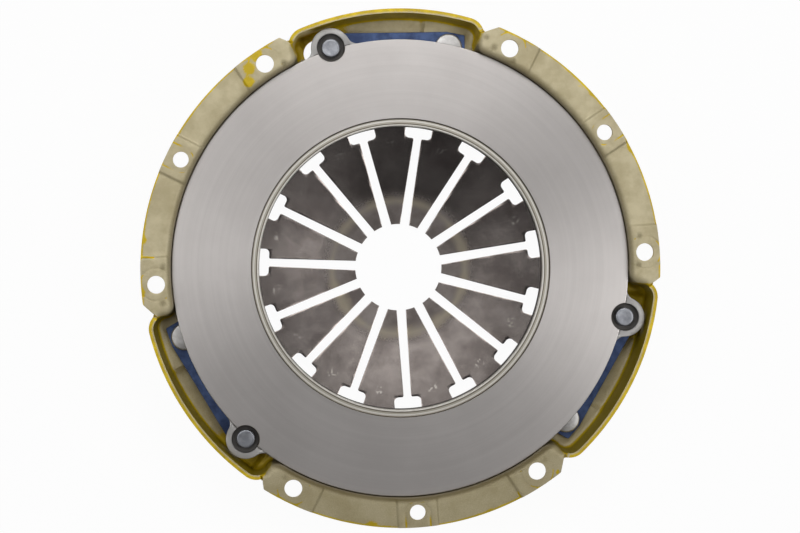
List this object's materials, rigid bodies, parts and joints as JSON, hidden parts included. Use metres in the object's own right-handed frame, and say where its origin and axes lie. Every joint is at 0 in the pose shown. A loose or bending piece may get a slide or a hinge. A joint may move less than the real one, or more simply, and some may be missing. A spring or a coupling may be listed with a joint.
{
  "type": "clutch pressure plate",
  "caption": "Round pressed cover with a flanged rim, a sprung iron friction ring, drive straps and a slotted diaphragm spring.",
  "frame": {"origin": "centre of the bolt circle on the flange face that meets the flywheel", "axes": "+Z along the clutch axis towards the flywheel, +X through a bolt hole, +Y through the middle of a strap pocket"},
  "size_m": [0.262, 0.2618, 0.0397],
  "materials": {
    "cover_steel": "satin plated pressing with yellow paint on its edges",
    "plate_iron": "ground face, as cast back",
    "spring_steel": "dark tempered",
    "ring_wire": "drawn wire",
    "rivet_steel": "headed steel",
    "strap_steel": "blued spring steel"
  },
  "bodies": {
    "cover": {"cover": "cover_steel", "fulcrum_ring_front": "ring_wire", "fulcrum_ring_rear": "ring_wire", "fulcrum_rivets": "rivet_steel", "drive_strap_1_leaf_1": "strap_steel", "drive_strap_1_leaf_2": "strap_steel", "drive_strap_1_leaf_3": "strap_steel", "drive_strap_2_leaf_1": "strap_steel", "drive_strap_2_leaf_2": "strap_steel", "drive_strap_2_leaf_3": "strap_steel", "drive_strap_3_leaf_1": "strap_steel", "drive_strap_3_leaf_2": "strap_steel", "drive_strap_3_leaf_3": "strap_steel", "strap_cover_rivet_1": "rivet_steel", "strap_cover_rivet_2": "rivet_steel", "strap_cover_rivet_3": "rivet_steel"},
    "pressure_plate": {"pressure_plate": "plate_iron", "strap_lug_rivet_1": "rivet_steel", "strap_lug_rivet_2": "rivet_steel", "strap_lug_rivet_3": "rivet_steel"},
    "diaphragm": {"diaphragm_spring": "spring_steel"}
  },
  "joints": [
    {"name": "plate_slide", "type": "slide", "parent": "cover", "child": "pressure_plate", "axis": [0, 0, -1], "range_m": [0, 0.0028], "stiffness_N_per_m": 20000, "springref_m": -0.002, "deforming": ["drive_strap_1_leaf_1", "drive_strap_1_leaf_2", "drive_strap_1_leaf_3", "drive_strap_2_leaf_1", "drive_strap_2_leaf_2", "drive_strap_2_leaf_3", "drive_strap_3_leaf_1", "drive_strap_3_leaf_2", "drive_strap_3_leaf_3"]},
    {"name": "finger_travel", "type": "slide", "parent": "cover", "child": "diaphragm", "axis": [0, 0, 1], "range_m": [0, 0.0069], "deforming": ["diaphragm_spring"]}
  ],
  "couplings": [
    {"joint": "finger_travel", "follows": "plate_slide", "ratio": 2.4642}
  ]
}
